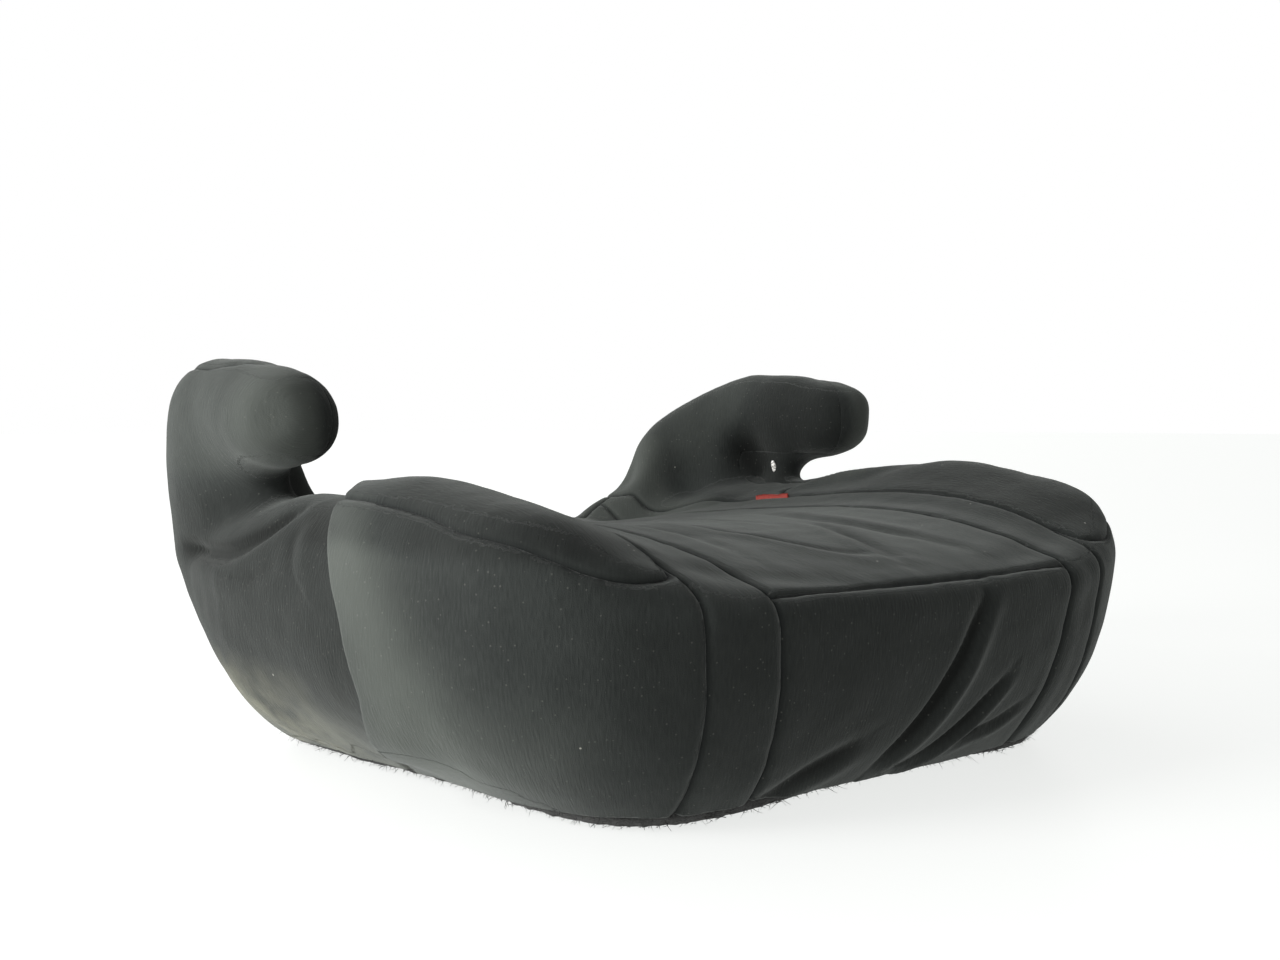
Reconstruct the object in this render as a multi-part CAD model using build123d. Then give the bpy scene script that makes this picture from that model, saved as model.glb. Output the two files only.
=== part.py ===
from build123d import *
import math
import os

# A backless booster seat for a child in a car: a moulded expanded-polystyrene
# core with two belt-guide horns, a foam seat pad, and a sewn knit cover that is
# pulled over the core and gathered under it by an elastic hem.
#
# Frame: millimetres, +Z up, front towards -Y, +X to the right-hand horn when
# the front is seen from outside. The origin is the middle of the footprint's box,
# on the surface that the seat stands on. The seat is symmetric about X = 0, so
# every shape is made for the right half and mirrored.

# ---- driving dimensions -------------------------------------------------
HALF_WIDTH = 222.0        # widest outline, half of the overall width
FRONT_REACH = 197.5       # widest outline, from the origin to the front
REAR_REACH = 197.5        # and to the rear
BASE_HALF_WIDTH = 157.0   # footprint on the floor, tucked in under the flare
BASE_FRONT = 161.0
BASE_REAR = 151.0
FLARE_HEIGHT = 94.0       # height at which the body is widest
OUTLINE_POWER_FRONT = 3.7  # superellipse power: 2 is an ellipse, higher is squarer
OUTLINE_POWER_REAR = 4.2
BASE_POWER_FRONT = 4.5
BASE_POWER_REAR = 3.7

COVER_THICKNESS = 3.0     # knit laminated to thin foam
COVER_GAP = 0.6           # slack between the cover and what it is pulled over
CORE_INSET = COVER_THICKNESS + COVER_GAP
PAD_THICKNESS = 9.0       # wadding under the seat panel
PAD_HALF_WIDTH = 96.0
PAD_FRONT = -171.0
PAD_REAR = 155.0

SEAM_INNER_TOP = 104.0    # half distance between the seams beside the seat panel
SEAM_INNER_BASE = 90.0    # the same seams where they reach the floor at the front
SEAM_OUTER_TOP = 139.0    # half distance between the seams outside the strips
SEAM_OUTER_BASE = 126.0
SHOULDER_SEAM_DROP = 11.0  # how far the bolster's outer seam lies below its crest
FRONT_EDGE_Y = -189.0     # seam between the seat panel and the front panel
REAR_EDGE_Y = 181.0       # seam between the seat panel and the back panel
SIDE_SEAM_TOP_Y = -25.0   # seam between the side panel and the horn cover
SIDE_SEAM_BASE_Y = 15.0
SIDE_SEAM_BULGE_Y = -57.0

HEM_WIDTH = 24.0          # fabric turned under the base
HEM_INSET = COVER_THICKNESS + 0.3
HEM_FLOOR_GAP = 0.5       # the core alone stands on the floor
HEM_THICKNESS = 1.8
ELASTIC_WIDTH = 7.0
ELASTIC_THICKNESS = 1.0
RECESS_DEPTH = 4.0        # step around the base that the hem lies in

POCKET_WIDTH = 34.0       # lightening pockets in the underside of the core
POCKET_LENGTH = 92.0
POCKET_DEPTH = 14.0

TAG_LENGTH = 27.0
TAG_HEIGHT = 4.5          # what stands out of the seam
TAG_THICKNESS = 0.8
TAG_X = 140.5
TAG_Y = 43.0

# Height of the seat along the inner seam, as (distance from front to rear, height).
SEAT_PROFILE = [
    (-210, 86), (-195, 95), (-180, 102), (-160, 109), (-130, 115.5),
    (-90, 120.5), (-45, 121), (15, 117.5), (80, 112), (135, 108), (220, 110),
]
# Height of the bolster's crest on the same line from front to rear.
CREST_PROFILE = [
    (-210, 86), (-190, 98), (-165, 114), (-135, 132), (-100, 143), (-60, 146),
    (-25, 143), (15, 137.5), (60, 132), (105, 131), (155, 138), (220, 134),
]
# The horn's centre line: point, half thickness across it, half depth along it.
HORN_SPINE = [
    ((108, 160, 76), 30, 36),
    ((144, 163, 102), 31, 47),
    ((172, 157, 127), 31, 50),
    ((188, 140, 149), 29, 46),
    ((196, 113, 166), 26, 34),
    ((197, 81, 171), 25.5, 28.5),
    ((195, 45, 170), 25, 25),
]
ROUND_STATIONS = 37       # columns of the body's skin, front to rear
COLUMN_POINTS = 27        # points on each column, floor to middle
HORN_STATIONS = 11        # sections along the horn, root to tip


def through(points, at):
    """Height at one place on the smooth curve through a list of (place, height)."""
    last = len(points) - 1
    at = min(max(at, points[0][0]), points[last][0])
    i = 0
    while i < last - 1 and at > points[i + 1][0]:
        i += 1

    def slope(k):
        a = points[max(k - 1, 0)]
        b = points[min(k + 1, last)]
        return (b[1] - a[1]) / (b[0] - a[0])

    x0, h0 = points[i]
    x1, h1 = points[i + 1]
    span = x1 - x0
    t = (at - x0) / span
    return (
        (1 + 2 * t) * (1 - t) ** 2 * h0 + t * (1 - t) ** 2 * span * slope(i)
        + t * t * (3 - 2 * t) * h1 + t * t * (t - 1) * span * slope(i + 1)
    )


def top_height(x, y):
    """Height of the upper surface: a dished seat between two bolsters."""
    seat = through(SEAT_PROFILE, y)
    crest = through(CREST_PROFILE, y)
    t = min(max((abs(x) - 100) / 90, 0), 1)
    rise = 0.25 * t + 0.75 * (t * t * (3 - 2 * t)) ** 1.2
    dish = 3.0 * max(1 - (x / 100) ** 2, 0) * min(max((y + 185) / 60, 0), 1)
    return seat + (crest - seat) * rise - dish


def ring(angle, half_width, front, rear, power):
    """Point of a superellipse outline; the angle runs from front (0) to rear (pi)."""
    s = abs(math.sin(angle))
    c = abs(math.cos(angle))
    reach = front if math.cos(angle) > 0 else rear
    r = ((s / half_width) ** power + (c / reach) ** power) ** (-1 / power)
    return r * math.sin(angle), -r * math.cos(angle)


def ease(a, b, t):
    return a + (b - a) * t * t * (3 - 2 * t)


def evenly_spaced(points, count):
    """The same line as points at equal distances along it."""
    lengths = [0.0]
    for a, b in zip(points, points[1:]):
        lengths.append(lengths[-1] + (b - a).length)
    spaced = []
    k = 0
    for i in range(count):
        want = lengths[-1] * i / (count - 1)
        while k < len(points) - 2 and lengths[k + 1] < want:
            k += 1
        t = (want - lengths[k]) / (lengths[k + 1] - lengths[k])
        spaced.append(points[k] + (points[k + 1] - points[k]) * min(t, 1.0))
    return spaced


def skin_column(angle, inset):
    """One line of the body's right half, from the floor up and in to X = 0."""
    turn = angle / math.pi
    base_power = ease(BASE_POWER_FRONT, BASE_POWER_REAR, turn)
    wide_power = ease(OUTLINE_POWER_FRONT, OUTLINE_POWER_REAR, turn)
    side = math.sin(angle) ** 2
    shoulder = 8 + 32 * side + (20 if math.cos(angle) < 0 else 0) * (1 - side)
    belly = 2.0 + 0.8 * side

    def outline(step):
        d = inset + step
        return ring(angle, HALF_WIDTH - d, FRONT_REACH - d, REAR_REACH - d, wide_power)

    bx, by = ring(
        angle, BASE_HALF_WIDTH - inset, BASE_FRONT - inset, BASE_REAR - inset, base_power
    )
    wx, wy = outline(0)
    column = []
    for i in range(16):
        t = i / 16
        k = (1 - t) ** belly
        column.append((wx + (bx - wx) * k, wy + (by - wy) * k, FLARE_HEIGHT * t))
    cx, cy = outline(shoulder)
    crest = top_height(cx, cy) - inset
    for i in range(13):
        th = math.pi / 2 * i / 12
        x, y = outline(shoulder * (1 - math.cos(th)))
        column.append((x, y, FLARE_HEIGHT + (crest - FLARE_HEIGHT) * math.sin(th)))
    for i in range(1, 27):
        x, y = outline(shoulder + 5 * i)
        column.append((x, y, top_height(x, y) - inset))
    for i in range(1, 9):
        k = 1 - i / 8
        column.append((x * k, y * (0.75 + 0.25 * k), top_height(x * k, y) - inset))
    return evenly_spaced([Vector(*p) for p in column], COLUMN_POINTS)


def half_body(inset):
    """Closed right half of the body, smaller all round by the inset."""
    grid = []
    for i in range(ROUND_STATIONS):
        grid.append(skin_column(math.pi * i / (ROUND_STATIONS - 1), inset))
    skin = Face.make_surface_from_array_of_points(grid, tol=0.3)
    on_floor = [e for e in skin.edges() if max(v.Z for v in e.positions([0, 0.5, 1])) < 0.2]
    in_middle = [e for e in skin.edges() if e not in on_floor]
    ends = on_floor[0].position_at(0), on_floor[0].position_at(1)
    floor_line = Edge.make_line(*ends)
    floor = Face(Wire([on_floor[0], floor_line]))
    middle = Face(Wire(in_middle + [floor_line]))
    return Solid(Shell([skin, floor, middle]))


def half_horn(inset):
    """Right horn: rounded sections along its spine, with a rounded tip."""
    spine = Spline([Vector(*p) for p, _, _ in HORN_SPINE])
    knots = [spine.param_at_point(Vector(*p)) for p, _, _ in HORN_SPINE]
    across = [(t, a) for t, (_, a, _) in zip(knots, HORN_SPINE)]
    along = [(t, b) for t, (_, _, b) in zip(knots, HORN_SPINE)]

    def section(at, tangent, a, b):
        plane = Plane(origin=at, x_dir=tangent.cross(Vector(0, 0, 1)), z_dir=tangent)
        return plane * Ellipse(a, b)

    sections = []
    for i in range(HORN_STATIONS):
        t = i / (HORN_STATIONS - 1)
        a = through(across, t) - inset
        b = through(along, t) - inset
        sections.append(section(spine.position_at(t), spine.tangent_at(t), a, b))
    tip = spine.position_at(1)
    ahead = spine.tangent_at(1)
    radius = HORN_SPINE[-1][1] - inset
    for degrees in (30, 52, 68, 80):
        th = math.radians(degrees)
        r = radius * math.cos(th)
        sections.append(section(tip + ahead * radius * math.sin(th), ahead, r, r))
    return loft(sections)


def both_sides(half):
    """A right half and its mirror image as one solid."""
    return half + half.mirror(Plane.YZ)


def half_form(inset):
    """Right half of the whole form, body and horn in one."""
    return half_body(inset) + half_horn(inset)


def column_of(outline, axis_plane, low, high):
    """Cutting block: a closed outline on a plane, swept from low to high."""
    face = axis_plane.offset(low) * make_face(Polyline(*outline, close=True))
    return extrude(face, high - low, dir=axis_plane.z_dir).solid()


def seam_strip(base_inner, top_inner, base_outer, top_outer):
    """Everything between two lengthwise seams that spread as they rise."""
    outline = [
        (base_inner, -5), (base_outer, -5), (top_outer, FLARE_HEIGHT), (top_outer, 260),
        (top_inner, 260), (top_inner, FLARE_HEIGHT),
    ]
    face = Plane.XZ.offset(-260) * make_face(Polyline(*outline, close=True))
    return extrude(face, 520, dir=(0, -1, 0)).solid()


def box_between(x0, x1, y0, y1, z0, z1):
    return Solid.make_box(x1 - x0, y1 - y0, z1 - z0, Plane((x0, y0, z0)))


def above_shoulder_seam():
    """Everything above the seam that runs along the bolster's outer shoulder."""
    stations = (-210, -185, -160, -135, -105, -65, -25, 25, 85)
    outer = [(y, through(CREST_PROFILE, y) - SHOULDER_SEAM_DROP) for y in stations]
    inner = [(y, through(SEAT_PROFILE, y) - 6) for y in stations]
    blocks = []
    for seam, x0, x1 in ((inner, 80, 186), (outer, 186, 260)):
        outline = seam + [(85, 260), (-210, 260)]
        blocks.append(column_of(outline, Plane.YZ, x0, x1))
    return blocks[0] + blocks[1]


def ahead_of_side_seam():
    """Everything in front of the seam between the side panel and the horn cover."""
    seam = Spline(
        (SIDE_SEAM_BASE_Y, -5), (-25, 22), (SIDE_SEAM_BULGE_Y, 62), (-51, 95),
        (SIDE_SEAM_TOP_Y - 10, 118), (SIDE_SEAM_TOP_Y + 6, 140), (-9, 160),
    )
    rest = Polyline((-9, 160), (-9, 260), (-260, 260), (-260, -5), (SIDE_SEAM_BASE_Y, -5))
    face = Plane.YZ.offset(0) * make_face([seam, rest])
    side = extrude(face, 260, dir=(1, 0, 0)).solid()
    # On top the seam crosses the bolster slantwise, further back on the inner side.
    corner = [(80, 83), (139, 71), (212, -19), (212, -195), (80, -195)]
    return side + column_of(corner, Plane.XY, 112, 260)


def outside_horn_seam():
    """Everything outside the seam that runs over the top of the horn."""
    outline = [
        (60, 177), (112, 179), (152, 177), (182, 165), (199, 143), (206, 113), (208, 81),
        (205, 45), (198, 17), (198, -75), (260, -75), (260, 260), (60, 260),
    ]
    return column_of(outline, Plane.XY, -5, 260)


def cover_panels():
    """The sewn cover, cut along its seams into the panels that it is made of."""
    body = half_body(0)
    horn = half_horn(0)
    lining = half_form(COVER_THICKNESS)
    cover = (body + horn) - lining
    middle = seam_strip(-1, -1, SEAM_INNER_BASE, SEAM_INNER_TOP)
    strip = seam_strip(SEAM_INNER_BASE, SEAM_INNER_TOP, SEAM_OUTER_BASE, SEAM_OUTER_TOP)
    flank = seam_strip(SEAM_OUTER_BASE, SEAM_OUTER_TOP, 300, 300)
    upper = box_between(-5, 300, FRONT_EDGE_Y, REAR_EDGE_Y, 84, 260)
    rear = box_between(-5, 300, 20, 260, -5, 260) - upper
    seat = (cover & middle & upper) - horn
    front = (cover & middle) - upper - rear
    strip_part = (cover & strip) - rear - horn
    back = (cover & (middle + strip) & rear) - horn
    flank_ahead = (cover & flank & ahead_of_side_seam()) - horn
    bolster = flank_ahead & above_shoulder_seam()
    side = flank_ahead - bolster
    behind = cover - seat - front - strip_part - back - flank_ahead
    outer_zone = outside_horn_seam() + box_between(SEAM_OUTER_BASE, 300, -120, 260, -5, 112)
    outer = behind & outer_zone
    inner = behind - outer
    return {
        "seat_panel": seat, "front_panel": front, "back_panel": back,
        "seat_side_strip": strip_part, "bolster_panel": bolster, "side_panel": side,
        "horn_outer_cover": outer, "horn_inner_cover": inner,
    }


def footprint(inset, low, high):
    """Right half of a flat plate with the footprint's outline, smaller by the inset."""
    outline = []
    for i in range(25):
        angle = math.pi * i / 24
        power = ease(BASE_POWER_FRONT, BASE_POWER_REAR, i / 24)
        outline.append(ring(
            angle, BASE_HALF_WIDTH - inset, BASE_FRONT - inset, BASE_REAR - inset, power
        ))
    edge = Spline(outline)
    closing = Line(edge @ 1, edge @ 0)
    return extrude(Plane.XY.offset(low) * make_face([edge, closing]), high - low, dir=(0, 0, 1))


def foam_core():
    """The white moulded core: body and horns in one, with a step for the hem."""
    core = half_form(CORE_INSET)
    step = footprint(-12, -1, RECESS_DEPTH) - footprint(HEM_INSET + HEM_WIDTH + 1.5, -2, 9)
    over_pad = box_between(
        -1, PAD_HALF_WIDTH + 0.6, PAD_FRONT - 0.6, PAD_REAR + 0.6, 84, 260
    )
    bed = over_pad - half_body(COVER_THICKNESS + PAD_THICKNESS + 1.0)
    core = core - step - bed
    pocket = SlotOverall(POCKET_LENGTH, POCKET_WIDTH, rotation=90)
    for x in (32, 88):
        for y in (-66, 52):
            core = core - extrude(Pos(x, y, -1) * pocket, POCKET_DEPTH + 1, dir=(0, 0, 1))
    return both_sides(largest(core))


def seat_wadding():
    """Soft pad that lies in a shallow bed in the core, under the seat panel."""
    over_pad = box_between(-1, PAD_HALF_WIDTH, PAD_FRONT, PAD_REAR, 84, 260)
    pad = half_body(COVER_THICKNESS + 0.3) - half_body(COVER_THICKNESS + PAD_THICKNESS)
    return both_sides(largest(pad & over_pad))


def hem_binding():
    """Bound edge of the cover, turned in under the base all round."""
    outer = footprint(HEM_INSET, HEM_FLOOR_GAP, HEM_FLOOR_GAP + HEM_THICKNESS)
    return both_sides(outer - footprint(HEM_INSET + HEM_WIDTH, -1, 9))


def hem_elastic():
    """Flat elastic that lies on the hem's inner edge and draws the cover tight."""
    low = HEM_FLOOR_GAP + HEM_THICKNESS + 0.1
    outer = footprint(HEM_INSET + HEM_WIDTH - ELASTIC_WIDTH - 1, low, low + ELASTIC_THICKNESS)
    return both_sides(outer - footprint(HEM_INSET + HEM_WIDTH - 1, -1, 9))


def side_tag():
    """Small plain tag caught in the seam at the foot of the right bolster."""
    height = top_height(TAG_X, TAG_Y)
    tag = box_between(
        TAG_X - TAG_THICKNESS, TAG_X, TAG_Y - TAG_LENGTH / 2, TAG_Y + TAG_LENGTH / 2,
        height - 3, height + TAG_HEIGHT,
    )
    return largest(tag - half_body(-0.3))


def largest(shape):
    """The main solid of a cut, without slivers left along its edges."""
    return max(shape.solids(), key=lambda solid: solid.volume)


def write(name, shape):
    export_step(shape, f"parts/{name}.step")


def build():
    os.makedirs("parts", exist_ok=True)
    write("foam_core", foam_core())
    write("seat_wadding", seat_wadding())
    write("hem_binding", hem_binding())
    write("hem_elastic", hem_elastic())
    write("side_tag", side_tag())
    above_floor = box_between(-5, 300, -300, 300, HEM_FLOOR_GAP, 300)
    for name, panel in cover_panels().items():
        panel = largest(panel & above_floor)
        if name in ("seat_panel", "front_panel", "back_panel"):
            write(name, both_sides(panel))
        else:
            write(f"{name}_right", panel)
            write(f"{name}_left", panel.mirror(Plane.YZ))


build()
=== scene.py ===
import math
import random

import bmesh
import bpy
import numpy as np
from mathutils import Matrix, Vector, kdtree, noise
from mathutils.bvhtree import BVHTree


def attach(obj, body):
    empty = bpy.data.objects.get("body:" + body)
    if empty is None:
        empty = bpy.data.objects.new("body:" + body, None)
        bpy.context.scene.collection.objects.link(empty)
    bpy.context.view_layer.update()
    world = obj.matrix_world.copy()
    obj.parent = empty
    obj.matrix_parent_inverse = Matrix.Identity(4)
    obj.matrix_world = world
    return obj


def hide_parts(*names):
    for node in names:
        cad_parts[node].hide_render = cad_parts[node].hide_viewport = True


# A backless child's booster seat in a sewn, faded black knit cover. The cover's panels are
# made from one skin that is laid over the CAD panels, cut along the seams, drawn in at each
# seam, folded and wrinkled, and split into one piece for each panel.
# Units are metres. +Z is up, the front edge is towards -Y, and the seat is symmetric about X.

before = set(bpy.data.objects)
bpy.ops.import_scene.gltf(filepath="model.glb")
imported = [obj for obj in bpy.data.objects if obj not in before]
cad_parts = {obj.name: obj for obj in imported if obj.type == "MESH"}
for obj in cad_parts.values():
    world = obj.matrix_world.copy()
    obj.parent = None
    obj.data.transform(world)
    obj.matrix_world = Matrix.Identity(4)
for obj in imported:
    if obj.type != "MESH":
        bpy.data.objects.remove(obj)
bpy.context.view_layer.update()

PAIRED = ("seat_side_strip", "bolster_panel", "side_panel", "horn_outer_cover", "horn_inner_cover")
SINGLE = ("seat_panel", "front_panel", "back_panel")
PANELS = list(SINGLE) + [f"{name}_{side}" for name in PAIRED for side in ("right", "left")]

MM = 0.001

VOXEL = 0.0032            # cell of the first skin; one subdivision halves it
SMOOTH_PASSES = 10
CLOTH_THICKNESS = 0.0018
BASE_CUT = 0.0080         # the panels stop here and the hem goes on down
FLARE_HEIGHT = 0.094      # height at which the seat is widest
SKIN_LIFT = 0.0006        # makes up for what smoothing takes off

SEAM_DEPTH = 0.0017       # the groove along a seam
SEAM_WIDTH = 0.0019
SEAM_ROLL = 0.0003        # the cloth beside it stands up by this, at this distance
SEAM_ROLL_AT = 0.007
PUCKER = 0.0004           # ruffles along it
ROLL_HEIGHT = 0.008       # the side panel's rear edge stands up, and the cover behind it dips
SINK_DEPTH = 0.0020
FRONT_SLACK = 0.0025      # the front panel hangs out by this where it is folded
DEEPEST = 0.0038          # the cover can't go further in, because the core is there,
DEEPEST_EASED = 0.006     # but for this much more where it is eased

CORE_SHRINK = 0.0016      # the core as drawn, inside its CAD surface, to clear the folds
CORE_EASE = 0.009         # and further in where the cover is eased
PAD_VOXEL = 0.004
PAD_START = 0.0008        # the pad starts this much smaller and swells by no more than PAD_SWELL
PAD_SWELL = 0.0012
PAD_FRAMES = 20

# Half distances between the lengthwise seams, at the floor and from the flare up.
SEAM_INNER = (0.090, 0.104)
SEAM_OUTER = (0.126, 0.139)
FRONT_EDGE_Y = -0.189
REAR_EDGE_Y = 0.181
SEAT_SPLIT = 0.086        # below this, what lies between the side panels is front or back panel

# Half width of the footprint, its reach to the front and rear, and how square its corners are
# at the front and rear: the power of the superellipse that it follows.
BASE_HALF = 0.157
BASE_REACH = (0.161, 0.151)
BASE_POWER = (4.5, 3.7)
# Half width and half depth of the outline that the ribs are spaced along.
RIB_OUTLINE = (0.222, 0.1975)


# ---- where the seams run ---------------------------------------------------

# Heights of the cover beside the seat and along the bolster's crest, from front to rear.
SEAT_HEIGHT = (
    (-0.210, 0.086), (-0.195, 0.095), (-0.180, 0.102), (-0.160, 0.109), (-0.130, 0.1155),
    (-0.090, 0.1205), (-0.045, 0.121), (0.015, 0.1175), (0.080, 0.112), (0.135, 0.108), (0.220, 0.110),
)
CREST_HEIGHT = (
    (-0.210, 0.086), (-0.190, 0.098), (-0.165, 0.114), (-0.135, 0.132), (-0.100, 0.143),
    (-0.060, 0.146), (-0.025, 0.143), (0.015, 0.1375), (0.060, 0.132), (0.105, 0.131), (0.220, 0.134),
)
# Side seam between the side panel and the horn cover: height, and distance to the rear.
SIDE_SEAM = (
    (-0.005, 0.000), (0.022, -0.038), (0.058, -0.060), (0.095, -0.051),
    (0.118, -0.035), (0.140, -0.019), (0.160, -0.009),
)
# The seam over the horn, in plan, about a point inside its hook: direction and distance.
HORN_CENTRE = (0.120, 0.080)
HORN_SEAM = ((-80, 0.173), (-50, 0.084), (-36, 0.079), (-22, 0.078), (-8, 0.082), (6, 0.090),
             (21, 0.097), (39, 0.106), (54, 0.110), (72, 0.110), (95, 0.114), (120, 0.128))


def along(points, at):
    """Value at each place on the line through the points, with its corners rounded off."""
    xs, ys = zip(*points)
    grid = np.linspace(xs[0], xs[-1], 241)
    line = np.pad(np.interp(grid, xs, ys), 20, mode="reflect", reflect_type="odd")
    window = np.hanning(41)
    return np.interp(at, grid, np.convolve(line, window / window.sum(), mode="valid"))


def smooth(low, high, value):
    """From 0 at low to 1 at high, easing in and out."""
    t = np.clip((value - low) / (high - low), 0, 1)
    return t * t * (3 - 2 * t)


def bell(value, width):
    """1 where the value is 0, falling off on both sides over about the width."""
    return np.exp(-(value / width) ** 2)


def inner_seam(x, y, z):
    """Positive outside the seam beside the seat panel and the front panel."""
    return np.abs(x) - np.interp(z, (0, FLARE_HEIGHT), SEAM_INNER)


def outer_seam(x, y, z):
    """Positive outside the strips; the seam turns in round the foot of the horn."""
    half = np.interp(z, (0, FLARE_HEIGHT), SEAM_OUTER)
    return np.abs(x) - half + 0.024 * smooth(0.075, 0.185, y)


def front_edge(x, y, z):
    return y - FRONT_EDGE_Y


def rear_edge(x, y, z):
    return y - REAR_EDGE_Y


def shoulder_seam(x, y, z):
    """Positive above the seam between the bolster panel and the side panel."""
    front = smooth(-0.110, -0.160, y)
    low = along(SEAT_HEIGHT, y) + 0.005 * front
    high = along(CREST_HEIGHT, y) - 0.011 + 0.010 * front
    return z - (low + (high - low) * smooth(0.148, 0.186, np.abs(x)))


def side_seam(x, y, z):
    """Positive behind the seam between the side panel and the horn cover."""
    on_top = smooth(0.205, 0.150, np.abs(x)) * smooth(0.112, 0.126, z)
    on_top = on_top * smooth(0.150, 0.142, z)
    return y - along(SIDE_SEAM, z) - 0.085 * on_top


def horn_seam(x, y, z):
    """Positive outside the seam that runs over the horn from root to tip."""
    dx = np.abs(x) - HORN_CENTRE[0]
    dy = y - HORN_CENTRE[1]
    reach = along(HORN_SEAM, np.degrees(np.arctan2(dy, dx)))
    outside = np.hypot(dx, dy) - reach
    below = 0.052 + 0.098 * smooth(0.160, 0.180, np.abs(x)) - z
    return np.maximum(outside, below)


def panel_of(x, y, z):
    """Index in PANELS of the panel that each point belongs to."""
    names = np.full(x.shape, "", dtype=object)
    side = np.where(x > 0, "_right", "_left").astype(object)
    middle = inner_seam(x, y, z) < 0
    strip = ~middle & (outer_seam(x, y, z) < 0)
    flank = ~middle & ~strip
    low = z < SEAT_SPLIT
    names[middle] = "seat_panel"
    names[middle & ((y < FRONT_EDGE_Y) | (low & (y < 0)))] = "front_panel"
    names[strip] = ("seat_side_strip" + side)[strip]
    at_back = (y > REAR_EDGE_Y) | (low & (y > 0))
    names[(middle | strip) & at_back] = "back_panel"
    ahead = flank & (side_seam(x, y, z) < 0)
    above = shoulder_seam(x, y, z) > 0
    names[ahead & above] = ("bolster_panel" + side)[ahead & above]
    names[ahead & ~above] = ("side_panel" + side)[ahead & ~above]
    behind = flank & ~ahead
    outside = horn_seam(x, y, z) > 0
    names[behind & outside] = ("horn_outer_cover" + side)[behind & outside]
    names[behind & ~outside] = ("horn_inner_cover" + side)[behind & ~outside]
    index = {name: i for i, name in enumerate(PANELS)}
    return np.array([index[name] for name in names])


# ---- mesh helpers ----------------------------------------------------------

def new_object(name, data):
    piece = bpy.data.objects.new(name, data)
    bpy.context.scene.collection.objects.link(piece)
    return piece


def baked(piece):
    """The piece's mesh with its modifiers applied; the piece itself is removed."""
    depsgraph = bpy.context.evaluated_depsgraph_get()
    mesh = bpy.data.meshes.new_from_object(piece.evaluated_get(depsgraph))
    bpy.data.objects.remove(piece)
    return mesh


def add_remesh(piece, size):
    made = piece.modifiers.new("remesh", "REMESH")
    made.mode = "VOXEL"
    made.voxel_size = size


def places(mesh):
    co = np.empty(len(mesh.vertices) * 3)
    mesh.vertices.foreach_get("co", co)
    return co.reshape(-1, 3)


def normals(mesh):
    no = np.empty(len(mesh.vertices) * 3)
    mesh.vertices.foreach_get("normal", no)
    return no.reshape(-1, 3)


def move_to(mesh, co):
    mesh.vertices.foreach_set("co", co.ravel())
    mesh.update()


def quads_of(mesh):
    corners = np.empty(len(mesh.loops), dtype=np.int32)
    mesh.loops.foreach_get("vertex_index", corners)
    return corners.reshape(-1, 4)


def built(name, points, faces, material):
    mesh = bpy.data.meshes.new(name)
    mesh.from_pydata(points, [], faces)
    mesh.materials.append(material)
    return mesh


def from_bmesh(name, bm, material):
    mesh = bpy.data.meshes.new(name)
    bm.to_mesh(mesh)
    bm.free()
    mesh.materials.append(material)
    return new_object(name, mesh)


def wobble(co, size, seed):
    """Smooth noise from -1 to 1 at each place, with lumps of about the given size."""
    shift = Vector((seed * 7.3, seed * 3.1, seed * 5.7))
    return np.array([noise.noise(Vector(p) / size + shift) for p in co])


# Places where the stuffed form is fuller or leaner than its moulded core: middle, shift and
# reach of each, in millimetres, for the right side and mirrored for the left.
PUSHES = (
    ((196, 118, 197), (0, 2, 3.5), 34),
    ((213, 132, 182), (2.5, 2, 1.5), 28),
    ((198, 28, 170), (3.5, 2.5, 1.5), 28),
    ((198, 40, 147), (0, 0, 3), 20),
    ((98, 150, 114), (9, 8, -9), 24),
    ((122, 138, 134), (0, 8, -7), 24),
    ((186, -145, 124), (4.5, -3, 6), 38),
    ((180, -112, 137), (0, 0, -2), 26),
    ((185, -50, 147), (0, 0, 2), 30),
    ((185, 0, 143), (0, 0, -1.5), 30),
    ((160, 85, 12), (10, 2, 0), 42),
    ((158, 30, 8), (4, 0, -1), 30),
    ((190, 130, 45), (-3, -2, 0), 26),
    ((203, 35, 174), (7, -2, 2), 30),
    ((222, 20, 172), (-6, 4, 0), 16),
    ((216, 115, 165), (-2.5, 0, 0), 28),
    ((104, 187, 106), (-10, 6, 0), 17),
    ((106, 178, 137), (14, 4, -4), 19),
    ((178, 106, 152), (11, 10, 1), 16),
    ((134, 132, 138), (9, 5, -6), 22),
    ((116, 180, 144), (9, 3, -7), 16),
    ((206, 146, 88), (3.5, 3, 0), 20),
)
BASE_TRIM = -0.0020       # how far the foot of the flank is drawn in
FRONT_CORNER = 0.0050     # and let out again at the corners
REAR_CORNER = 0.0085
FOOT_TOP = 0.07
WAIST_TRIM = -0.0018      # the corners are drawn in about this height
WAIST_HEIGHT = 0.068
WAIST_REACH = 0.026
HEM_ARCH = (0.0014, 0.0046)    # the edge clears the floor by this at the sides and the front
ARCH_TOP = 0.030


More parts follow.
